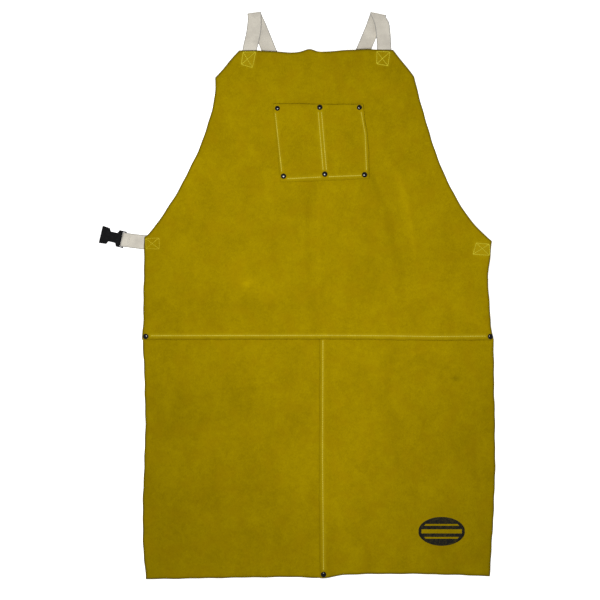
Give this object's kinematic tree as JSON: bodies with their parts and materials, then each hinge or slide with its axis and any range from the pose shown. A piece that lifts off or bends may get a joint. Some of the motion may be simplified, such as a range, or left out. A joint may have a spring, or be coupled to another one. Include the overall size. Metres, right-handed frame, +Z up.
{
  "type": "welding apron",
  "caption": "Suede split leather bib apron for welding, laid flat, with riveted seams, a double pencil pocket, cross-back webbing straps and a side release buckle.",
  "frame": {"origin": "on the floor, in the middle of the whole object's footprint", "axes": "+Y from the hem towards the top of the bib, +Z up out of the apron's front face, +X to the right seen from the front"},
  "size_m": [0.6866, 0.9868, 0.0135],
  "materials": {
    "leather": "suede split cowhide, matt",
    "webbing": "undyed cotton webbing, matt",
    "buckle": "moulded black, half gloss",
    "rivet": "black enamelled steel"
  },
  "bodies": {
    "apron": {"bib_panel": "leather", "lower_left_panel": "leather", "lower_right_panel": "leather", "chest_pocket": "leather", "rivet_cap_pocket_top_left": "rivet", "rivet_cap_pocket_top_middle": "rivet", "rivet_cap_pocket_top_right": "rivet", "rivet_cap_pocket_bottom_left": "rivet", "rivet_cap_pocket_bottom_middle": "rivet", "rivet_cap_pocket_bottom_right": "rivet", "rivet_cap_seam_left": "rivet", "rivet_cap_seam_right": "rivet", "rivet_cap_hem": "rivet", "rivet_burr_pocket_top_left": "rivet", "rivet_burr_pocket_top_middle": "rivet", "rivet_burr_pocket_top_right": "rivet", "rivet_burr_pocket_bottom_left": "rivet", "rivet_burr_pocket_bottom_middle": "rivet", "rivet_burr_pocket_bottom_right": "rivet", "rivet_burr_seam_left": "rivet", "rivet_burr_seam_right": "rivet", "rivet_burr_hem": "rivet", "shoulder_strap_left": "webbing", "shoulder_strap_right": "webbing", "side_tab_anchor": "webbing"},
    "side_tab": {"side_tab_webbing": "webbing"},
    "receiver": {"buckle_receiver": "buckle"},
    "plug": {"buckle_plug": "buckle", "adjuster_loop": "webbing"},
    "arm_left": {"release_arm_left": "buckle"},
    "arm_right": {"release_arm_right": "buckle"}
  },
  "joints": [
    {"name": "side_tab_fold", "type": "hinge", "parent": "apron", "child": "side_tab", "pos_m": [-0.2687, 0.0925, 0.00695], "axis": [0, 1, 0], "range_deg": [0, 115]},
    {"name": "receiver_swivel", "type": "hinge", "parent": "side_tab", "child": "receiver", "pos_m": [-0.2999, 0.0965, 0.0045], "axis": [0.2283, 0.9736, 0], "range_deg": [-75, 75]},
    {"name": "strap_adjust", "type": "slide", "parent": "apron", "child": "plug", "axis": [0.3508, 0.9364, 0], "range_m": [0, 0.07]},
    {"name": "release_arm_left", "type": "hinge", "parent": "plug", "child": "arm_left", "pos_m": [-0.02232, 0.03043, 0.0046], "axis": [0, 0, 1], "range_deg": [-8, 0], "stiffness_Nm_per_rad": 0.3},
    {"name": "release_arm_right", "type": "hinge", "parent": "plug", "child": "arm_right", "pos_m": [-0.04198, 0.0378, 0.0046], "axis": [0, 0, 1], "range_deg": [0, 8], "stiffness_Nm_per_rad": 0.3}
  ],
  "couplings": [
    {"joint": "release_arm_right", "follows": "release_arm_left", "ratio": -1}
  ]
}
